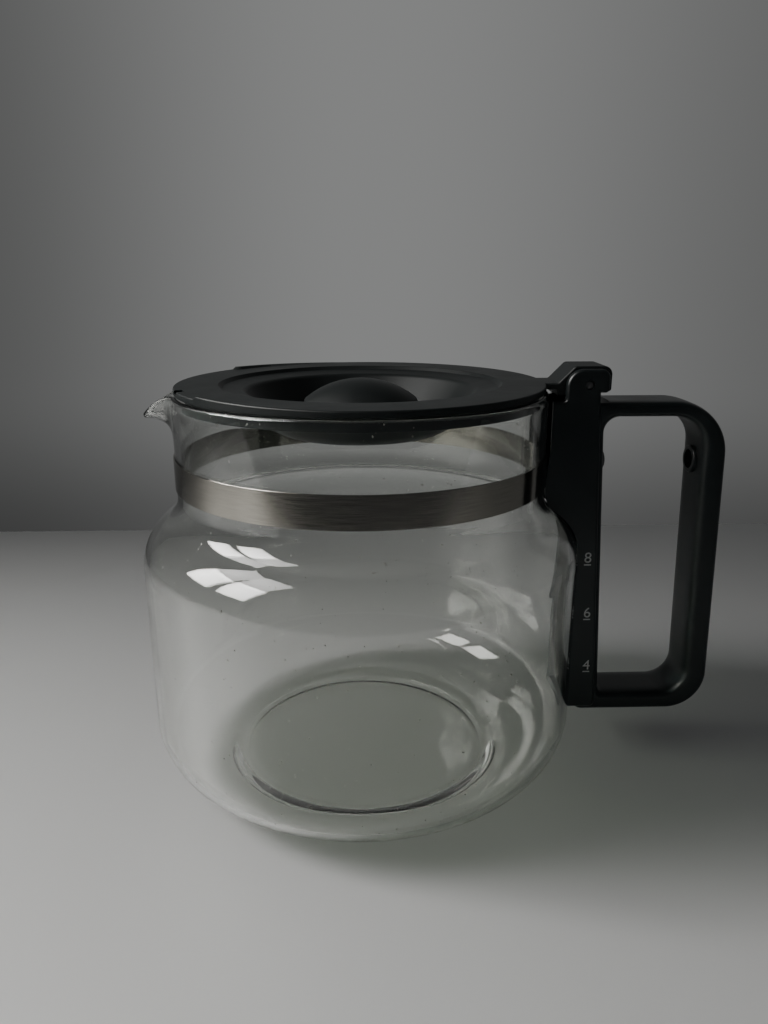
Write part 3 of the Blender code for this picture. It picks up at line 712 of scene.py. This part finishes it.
def make_handle(material):
    """The moulding: spine and grip joined, then hollowed and cut to clear the jug, lid, pin and screw."""
    spine = plate("handle_moulding", [spine_outline()], SPINE_HALF_WIDTH, SPINE_EDGE)
    collar_start = (WINDOW_FAR_X - COLLAR_REACH, 0.0, CLAMP_HEIGHT)
    collar_end = (WINDOW_FAR_X + COLLAR_REACH, 0.0, CLAMP_HEIGHT)
    sweep_start = (PIN_X, -CHANNEL_HALF_WIDTH, PIN_HEIGHT)
    sweep_end = (PIN_X, CHANNEL_HALF_WIDTH, PIN_HEIGHT)
    bore_start = (PIN_X, -SPINE_HALF_WIDTH - CUT_MARGIN, PIN_HEIGHT)
    bore_end = (PIN_X, SPINE_HALF_WIDTH + CUT_MARGIN, PIN_HEIGHT)
    screw_start = (WINDOW_NEAR_X - CUT_MARGIN, 0.0, CLAMP_HEIGHT)
    screw_end = (WINDOW_NEAR_X + CUT_MARGIN, 0.0, CLAMP_HEIGHT)
    access_start = (WINDOW_FAR_X - CUT_MARGIN, 0.0, CLAMP_HEIGHT)
    access_end = (GRIP_OUTER_X + CUT_MARGIN, 0.0, CLAMP_HEIGHT)
    handle = shaped(spine, [
        ("UNION", make_grip()),
        ("UNION", rod("collar", COLLAR_RADIUS, collar_start, collar_end, 64, COLLAR_EDGE)),
        ("DIFFERENCE", plate("channel", [channel_outline()], CHANNEL_HALF_WIDTH, 0.0)),
        ("DIFFERENCE", turned("jug_clearance", jug_clearance_section(), JUG_SEGMENTS)),
        ("DIFFERENCE", rod("lid_sweep", SWEEP_RADIUS, sweep_start, sweep_end, 96)),
        ("DIFFERENCE", rod("pin_bore", PIN_RADIUS + CLEARANCE, bore_start, bore_end)),
        ("DIFFERENCE", rod("screw_bore", SCREW_RADIUS + CLEARANCE, screw_start, screw_end)),
        ("DIFFERENCE", rod("access", ACCESS_RADIUS, access_start, access_end)),
    ])
    smooth(handle)
    place(handle, "handle", "jug", material)


def make_level_mark(number, middle_x, line_height, material):
    """A printed number with a short line under it, on the side of the spine."""
    text = bpy.data.curves.new("level_" + number, "FONT")
    text.body = number
    text.size = DIGIT_HEIGHT / DIGIT_SHARE_OF_SIZE
    text.align_x = "CENTER"
    text.extrude = PAINT
    text.resolution_u = 6
    digit = new_object("level_" + number, text)
    digit.rotation_euler = (math.pi / 2, 0.0, 0.0)
    digit.location = (middle_x, -SPINE_HALF_WIDTH, line_height + DIGIT_GAP)
    digit = as_mesh_object(digit)
    left = middle_x - LINE_WIDTH / 2
    right = middle_x + LINE_WIDTH / 2
    low = line_height - LINE_HEIGHT / 2
    high = line_height + LINE_HEIGHT / 2
    corners = [(x, z, LINE_HEIGHT / 3) for x, z in ((left, low), (right, low), (right, high), (left, high))]
    line = plate("level_line_" + number, [rounded_outline(corners, 15.0)], PAINT, 0.0)
    line.location.y = -SPINE_HALF_WIDTH
    for item in (digit, as_mesh_object(line)):
        place(item, None, "jug", material)


# Hinge pin and lid

def make_pin(material):
    """The plain rod through both ears and the lid's tab."""
    start = (PIN_X, -PIN_HALF_LENGTH, PIN_HEIGHT)
    end = (PIN_X, PIN_HALF_LENGTH, PIN_HEIGHT)
    pin = rod("pin_rod", PIN_RADIUS, start, end, 64, PIN_EDGE)
    smooth(pin)
    place(pin, "hinge_pin", "jug", material)


def lid_section():
    """Section of the lid: over the top from the axis outwards, then back along the underside."""
    dome_centre = DOME_APEX - DOME_ROUND
    side_angle = math.degrees(math.acos(DOME_SIDE_RADIUS / DOME_ROUND))
    inner_round = DOME_ROUND - LID_WALL
    underside = BOWL_FLOOR_HEIGHT - LID_WALL
    dish = LID_TOP - STEP_DEPTH
    low_edge = LID_TOP - LID_EDGE
    dome = arc(0.0, dome_centre, DOME_ROUND, 90.0, side_angle, 20)
    dome_under = arc(0.0, dome_centre, inner_round, side_angle, 90.0, 16)
    dome[0] = (0.0, DOME_APEX)
    dome_under[-1] = (0.0, dome_centre + inner_round)
    bends = rounded_path([
        (*dome[-2], 0.0),
        (*dome[-1], DOME_SIDE_ROUND),
        (DOME_FOOT_RADIUS, BOWL_FLOOR_HEIGHT, DOME_FOOT_ROUND),
        (BOWL_FLOOR_RADIUS, BOWL_FLOOR_HEIGHT, BOWL_FLOOR_ROUND),
        (BOWL_TOP_RADIUS, LID_TOP - BOWL_TOP_DROP, BOWL_TOP_ROUND),
        (STEP_INNER, dish, LID_CREASE),
        (STEP_OUTER, LID_TOP, LID_CREASE),
        (RIDGE_INNER - RIDGE_SLOPE, LID_TOP, 0.0),
        (RIDGE_INNER, LID_TOP, 0.0),
        (LID_RADIUS, LID_TOP, LID_EDGE_ROUND),
        (LID_RADIUS, low_edge, LID_EDGE_ROUND),
        (SKIRT_OUTER, low_edge, LID_CREASE),
        (SKIRT_OUTER, SKIRT_LOW, LID_CREASE),
        (SKIRT_INNER, SKIRT_LOW, LID_CREASE),
        (SKIRT_INNER, low_edge, LID_CREASE),
        (STEP_OUTER + STEP_DEPTH, low_edge, LID_CREASE),
        (STEP_INNER, dish - LID_WALL, LID_CREASE),
        (BOWL_TOP_RADIUS + BOWL_WALL_OFFSET, LID_TOP - BOWL_TOP_DROP - LID_WALL, BOWL_TOP_ROUND),
        (BOWL_FLOOR_RADIUS + BOWL_WALL_OFFSET, underside, BOWL_UNDER_ROUND),
        (DOME_FOOT_INNER, underside, LID_CREASE),
        (*dome_under[0], 0.0),
    ])
    return dome[:-1] + bends[1:-1] + dome_under


def raise_ridge(lid):
    """Lift the outermost ring of the lid's top into two low ramps that end in steps beside the lip."""
    for vertex in lid.data.vertices:
        x, y, z = vertex.co
        radius = math.hypot(x, y)
        angle = abs(math.atan2(y, x))
        on_top = z > LID_TOP - LID_EDGE / 2 and radius > RIDGE_INNER - WELD
        if on_top and RIDGE_END < angle < RIDGE_START:
            vertex.co.z = z + RIDGE_HEIGHT * (angle - RIDGE_END) / (RIDGE_START - RIDGE_END)


def tab_outline():
    """Side view of the tab, which grows out of the flange and ends in the thumb block behind the pin."""
    inside_flange = SKIRT_OUTER - TAB_ROOT
    top = LID_TOP - TAB_INSET
    low_edge = LID_TOP - LID_EDGE + TAB_INSET
    return rounded_outline([
        (inside_flange, low_edge, 0.0),
        (inside_flange, top, 0.0),
        (TAB_FRONT_X, top, RAMP_FOOT_ROUND),
        (RAMP_TOP_X, TAB_TOP, RAMP_TOP_ROUND),
        (TAB_REAR_X, TAB_TOP, THUMB_TOP_ROUND),
        (TAB_REAR_X, THUMB_LOW, THUMB_LOW_ROUND),
        (THUMB_STEP_X, THUMB_LOW, THUMB_STEP_ROUND),
        (THUMB_STEP_X, TAB_LOW, TAB_LOW_ROUND),
        (TAB_FRONT_X, TAB_LOW, TAB_LOW_ROUND),
        (TAB_FRONT_X, low_edge, 0.0),
    ])


def drip_holes():
    """Short rods that cut the ring of small holes in the bowl's floor."""
    holes = []
    for index in range(DRIP_HOLES):
        angle = math.tau * (index + 0.5) / DRIP_HOLES
        x = DRIP_HOLE_CIRCLE * math.cos(angle)
        y = DRIP_HOLE_CIRCLE * math.sin(angle)
        low = (x, y, BOWL_FLOOR_HEIGHT - LID_WALL - CUT_MARGIN)
        high = (x, y, BOWL_FLOOR_HEIGHT + DRIP_HOLE_RISE)
        holes.append(rod("drip_hole", DRIP_HOLE_RADIUS, low, high, 32))
    return holes


def make_lid(material):
    """The turned lid with its ridge and hinge tab, less the pin bore, pouring gap, notch and drip holes."""
    lid = turned("lid_moulding", lid_section(), LID_SEGMENTS)
    raise_ridge(lid)
    bore_start = (PIN_X, -SPINE_HALF_WIDTH, PIN_HEIGHT)
    bore_end = (PIN_X, SPINE_HALF_WIDTH, PIN_HEIGHT)
    gap_low = (-LID_RADIUS, -SKIRT_GAP_HALF, SKIRT_LOW - CUT_MARGIN)
    gap_high = (-BOWL_TOP_RADIUS, SKIRT_GAP_HALF, LID_TOP - LID_EDGE - SKIRT_GAP_DEPTH)
    notch_low = (LID_RADIUS - NOTCH_REACH, -NOTCH_LENGTH / 2, LID_TOP - NOTCH_DEPTH)
    notch_high = (LID_RADIUS + CUT_MARGIN, NOTCH_LENGTH / 2, LID_TOP + CUT_MARGIN)
    steps = [
        ("UNION", plate("hinge_tab", [tab_outline()], TAB_HALF_WIDTH, TAB_EDGE, 4)),
        ("DIFFERENCE", rod("tab_bore", PIN_RADIUS + CLEARANCE, bore_start, bore_end)),
        ("DIFFERENCE", block("pouring_gap", gap_low, gap_high)),
        ("DIFFERENCE", block("edge_notch", notch_low, notch_high, 0.0, NOTCH_ANGLE)),
    ]
    steps += [("DIFFERENCE", hole) for hole in drip_holes()]
    lid = shaped(lid, steps)
    smooth(lid)
    place(lid, "lid", "lid", material)


# Materials

def new_material(name):
    material = bpy.data.materials.new(name)
    material.use_nodes = True
    material.node_tree.nodes.clear()
    return material, material.node_tree


def node(tree, kind, inputs=None, **settings):
    """Add a shader node. Each input is a value, or an output socket to link from."""
    made = tree.nodes.new("ShaderNode" + kind)
    for name, value in settings.items():
        setattr(made, name, value)
    for name, value in (inputs or {}).items():
        if isinstance(value, bpy.types.NodeSocket):
            tree.links.new(value, made.inputs[name])
        else:
            made.inputs[name].default_value = value
    return made


def noise(tree, place_socket, scale, detail=3.0, roughness=0.5):
    """Noise whose blobs are about one over scale metres across."""
    inputs = {"Vector": place_socket, "Scale": scale, "Detail": detail, "Roughness": roughness}
    return node(tree, "TexNoise", inputs).outputs["Fac"]


def ramped(tree, value, low, high, to_low, to_high, kind="LINEAR"):
    """Map a value from one range to another, clamped at both ends."""
    inputs = {"Value": value, "From Min": low, "From Max": high, "To Min": to_low, "To Max": to_high}
    return node(tree, "MapRange", inputs, interpolation_type=kind).outputs["Result"]


def eased(tree, value, low, high, to_low, to_high):
    """Map a value from one range to another with a soft start and end."""
    return ramped(tree, value, low, high, to_low, to_high, "SMOOTHSTEP")


def times(tree, first, second):
    return node(tree, "Math", {0: first, 1: second}, operation="MULTIPLY").outputs[0]


def times_plus(tree, first, second, added):
    inputs = {0: first, 1: second, 2: added}
    return node(tree, "Math", inputs, operation="MULTIPLY_ADD").outputs[0]


def mixed(tree, share, first, second):
    """Mix of two colours, each given as red, green and blue or as an output socket."""
    made = node(tree, "Mix", {"Factor": share}, data_type="RGBA")
    for socket, colour in zip((made.inputs[6], made.inputs[7]), (first, second)):
        if isinstance(colour, bpy.types.NodeSocket):
            tree.links.new(colour, socket)
        else:
            socket.default_value = (*colour, 1.0)
    return made.outputs[2]


def bumped(tree, height, distance, below=None):
    """Bump from a height, with the given distance in metres, over another bump if there is one below."""
    inputs = {"Height": height, "Distance": distance, "Strength": 1.0}
    if below:
        inputs["Normal"] = below
    return node(tree, "Bump", inputs).outputs["Normal"]


def finish_material(tree, shader):
    node(tree, "OutputMaterial", {"Surface": shader})


def glass_material():
    """Clear blown glass: slightly wavy, with faint smears, specks of dirt and a light shadow."""
    material, tree = new_material("clear_blown_glass")
    where = node(tree, "TexCoord").outputs["Object"]
    waves = bumped(tree, noise(tree, where, 40.0, 1.0), 0.05 * MM)
    smears = ramped(tree, noise(tree, where, 70.0, 5.0, 0.65), 0.55, 0.80, 0.0, 0.015)
    specks = ramped(tree, noise(tree, where, 900.0, 1.0), 0.765, 0.785, 0.0, 1.0)
    glass = node(tree, "BsdfPrincipled", {
        "Base Color": mixed(tree, specks, (0.985, 0.995, 0.975), (0.30, 0.28, 0.24)),
        "Roughness": times_plus(tree, specks, 0.4, smears),
        "IOR": 1.48,
        "Transmission Weight": 1.0,
        "Normal": waves,
    })
    through = node(tree, "BsdfTransparent", {"Color": (0.76, 0.78, 0.75, 1.0)})
    rays = node(tree, "LightPath")
    both = node(tree, "MixShader", {
        0: rays.outputs["Is Shadow Ray"],
        1: glass.outputs[0],
        2: through.outputs[0],
    })
    finish_material(tree, both.outputs[0])
    return material


def steel_material():
    """Stainless steel brushed round the jug's axis, with fine streaks and a few darker patches."""
    material, tree = new_material("brushed_stainless")
    where = node(tree, "TexCoord").outputs["Object"]
    parts = node(tree, "SeparateXYZ", {0: where}).outputs
    turn = node(tree, "Math", {0: parts[1], 1: parts[0]}, operation="ARCTAN2").outputs[0]
    drawn_out = node(tree, "CombineXYZ", {0: times(tree, turn, 0.001), 2: parts[2]}).outputs[0]
    streaks = noise(tree, drawn_out, 5200.0, 4.0, 0.7)
    patches = noise(tree, where, 120.0, 4.0)
    light = (0.335, 0.32, 0.285)
    dark = [channel * 0.72 for channel in light]
    tone = mixed(tree, ramped(tree, streaks, 0.3, 0.7, 0.0, 0.5), light, dark)
    tone = mixed(tree, ramped(tree, patches, 0.45, 0.75, 0.0, 0.35), tone, dark)
    steel = node(tree, "BsdfPrincipled", {
        "Base Color": tone,
        "Metallic": 1.0,
        "Roughness": ramped(tree, streaks, 0.3, 0.7, 0.06, 0.19),
        "Anisotropic": 1.0,
        "Anisotropic Rotation": 0.25,
        "Tangent": node(tree, "Tangent", direction_type="RADIAL", axis="Z").outputs[0],
        "Normal": bumped(tree, streaks, 0.002 * MM),
    })
    finish_material(tree, steel.outputs[0])
    return material


def zinc_material():
    """Dull zinc plating with a mottled tone."""
    material, tree = new_material("zinc_plating")
    where = node(tree, "TexCoord").outputs["Object"]
    mottle = noise(tree, where, 900.0, 4.0, 0.6)
    zinc = node(tree, "BsdfPrincipled", {
        "Base Color": mixed(tree, mottle, (0.09, 0.092, 0.095), (0.24, 0.24, 0.235)),
        "Metallic": 1.0,
        "Roughness": ramped(tree, mottle, 0.3, 0.7, 0.28, 0.48),
        "Normal": bumped(tree, noise(tree, where, 4000.0), 0.01 * MM),
    })
    finish_material(tree, zinc.outputs[0])
    return material


def plastic_material(name, colour, worn, roughness, gloss, grain):
    """Near-black moulding: fine grain, uneven sheen, hairline scratches and a little dust."""
    material, tree = new_material(name)
    where = node(tree, "TexCoord").outputs["Object"]
    stretched = node(tree, "Mapping", {"Vector": where, "Scale": (1.0, 5.0, 0.12)}).outputs[0]
    scratches = ramped(tree, noise(tree, stretched, 1500.0, 2.0), 0.68, 0.75, 0.0, 1.0)
    sheen = noise(tree, where, 55.0, 4.0, 0.6)
    dust = ramped(tree, noise(tree, where, 2600.0, 1.0), 0.80, 0.83, 0.0, 1.0)
    tone = mixed(tree, ramped(tree, sheen, 0.35, 0.7, 0.0, 0.4), colour, worn)
    tone = mixed(tree, dust, tone, (0.10, 0.10, 0.095))
    rough = ramped(tree, sheen, 0.3, 0.7, roughness - 0.05, roughness + 0.07)
    fine = bumped(tree, noise(tree, where, 1500.0, 3.0), grain)
    marked = bumped(tree, scratches, -0.002 * MM, fine)
    plastic = node(tree, "BsdfPrincipled", {
        "Base Color": tone,
        "Roughness": times_plus(tree, scratches, 0.10, rough),
        "IOR": 1.5,
        "Specular IOR Level": gloss,
        "Normal": marked,
    })
    finish_material(tree, plastic.outputs[0])
    return material


def paint_material():
    """Pale printed paint, slightly thin in places."""
    material, tree = new_material("printed_paint")
    where = node(tree, "TexCoord").outputs["Object"]
    thin = ramped(tree, noise(tree, where, 3500.0, 3.0), 0.4, 0.75, 0.0, 0.5)
    paint = node(tree, "BsdfPrincipled", {
        "Base Color": mixed(tree, thin, (0.62, 0.63, 0.62), (0.30, 0.31, 0.31)),
        "Roughness": ramped(tree, thin, 0.0, 0.5, 0.5, 0.65),
        "Normal": bumped(tree, thin, 0.01 * MM),
    })
    finish_material(tree, paint.outputs[0])
    return material


def floor_material():
    """Pale table top, slightly cloudy, with a fine grain."""
    material, tree = new_material("pale_floor")
    where = node(tree, "TexCoord").outputs["Object"]
    cloud = noise(tree, where, 6.0, 4.0)
    floor = node(tree, "BsdfPrincipled", {
        "Base Color": mixed(tree, cloud, (0.70, 0.705, 0.70), (0.76, 0.765, 0.76)),
        "Roughness": 0.45,
        "Specular IOR Level": 0.3,
        "Normal": bumped(tree, noise(tree, where, 900.0), 0.02 * MM),
    })
    finish_material(tree, floor.outputs[0])
    return material


# Studio

def make_floor():
    """A table top that ends behind the jug, where the grey surroundings begin."""
    half = FLOOR_HALF_LENGTH
    outline = [(-half, FLOOR_FRONT), (half, FLOOR_FRONT), (half, FLOOR_BACK), (-half, FLOOR_BACK)]
    cage = bmesh.new()
    cage.faces.new([cage.verts.new((x, y, FLOOR_HEIGHT)) for x, y in outline])
    mesh = bpy.data.meshes.new("floor")
    cage.to_mesh(mesh)
    cage.free()
    floor = new_object("floor", mesh)
    floor.data.materials.append(floor_material())


def make_world():
    """Grey surroundings: a wall behind that is lit most in its middle, and a dark room in front."""
    world = bpy.data.worlds.new("studio")
    bpy.context.scene.world = world
    world.use_nodes = True
    tree = world.node_tree
    tree.nodes.clear()
    side, depth, rise = node(tree, "SeparateXYZ", {0: node(tree, "TexCoord").outputs["Generated"]}).outputs
    left = eased(tree, side, -0.50, 0.0, 0.38, 1.0)
    right = eased(tree, side, 0.02, 0.60, 1.0, 0.5)
    low = eased(tree, rise, -0.31, -0.12, 0.5, 1.0)
    high = eased(tree, rise, 0.35, 0.8, 1.0, 0.35)
    glow = times(tree, times(tree, left, right), times(tree, low, high))
    wall = node(tree, "VectorMath", {0: WALL_TONE, "Scale": glow}, operation="SCALE").outputs[0]
    tone = mixed(tree, eased(tree, depth, -0.35, 0.5, 0.0, 1.0), ROOM_TONE, wall)
    sky = node(tree, "Background", {"Color": tone, "Strength": 1.0})
    node(tree, "OutputWorld", {"Surface": sky.outputs[0]})


def make_light(name, place_at, target, size, power, spread):
    """Rectangular light aimed at a point, with its power in watts and its spread in degrees."""
    light = bpy.data.lights.new(name, "AREA")
    light.shape = "RECTANGLE"
    light.size, light.size_y = size
    light.energy = power
    light.color = LIGHT_COLOUR
    light.spread = math.radians(spread)
    lamp = new_object(name, light)
    lamp.location = place_at
    lamp.rotation_euler = (Vector(target) - Vector(place_at)).to_track_quat("-Z", "Y").to_euler()
    lamp.visible_camera = False
    return lamp


def make_pane(name, place_at, power, through_glass):
    """A window pane that gloss and glass show, but that doesn't light dull surfaces."""
    pane = make_light(name, place_at, PANE_TARGET, PANE_SIZE, power, PANE_SPREAD)
    pane.visible_diffuse = False
    pane.visible_transmission = through_glass
    pane.data.use_nodes = True
    tree = pane.data.node_tree
    tree.nodes.clear()
    depth = node(tree, "LightPath").outputs["Diffuse Depth"]
    shown = node(tree, "Math", {0: depth, 1: 0.5}, operation="LESS_THAN").outputs[0]
    glow = node(tree, "Emission", {"Strength": shown})
    node(tree, "OutputLight", {"Surface": glow.outputs[0]})


def make_lights():
    """Daylight from the left: bright window panes, dimmer ones over them, and the light on the table."""
    for pane in PANES:
        make_pane(*pane)
    daylight = make_light("daylight", (-0.75, -0.16, 0.50), (-0.20, -0.30, 0.0), (0.6, 0.4), 1.7, 58.0)
    daylight.visible_glossy = False
    daylight.visible_transmission = False


def make_camera():
    """Camera in front of the jug, a little above it and looking down."""
    data = bpy.data.cameras.new("camera")
    data.lens = CAMERA_LENS
    data.clip_start = 0.01
    camera = new_object("camera", data)
    camera.location = CAMERA_PLACE
    ahead = Vector((
        math.sin(CAMERA_RIGHT) * math.cos(CAMERA_DOWN),
        math.cos(CAMERA_RIGHT) * math.cos(CAMERA_DOWN),
        -math.sin(CAMERA_DOWN),
    ))
    camera.rotation_euler = ahead.to_track_quat("-Z", "Y").to_euler()
    camera.rotation_euler.rotate_axis("Z", CAMERA_ROLL)
    bpy.context.scene.camera = camera


def main():
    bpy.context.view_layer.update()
    zinc = zinc_material()
    paint = paint_material()
    make_jug(glass_material())
    make_band(steel_material())
    make_anchor(zinc)
    make_screw(zinc)
    make_handle(plastic_material("handle_black", *HANDLE_PLASTIC))
    for mark in LEVEL_MARKS:
        make_level_mark(*mark, paint)
    make_pin(zinc)
    make_lid(plastic_material("lid_black", *LID_PLASTIC))
    make_floor()
    make_world()
    make_lights()
    make_camera()


main()
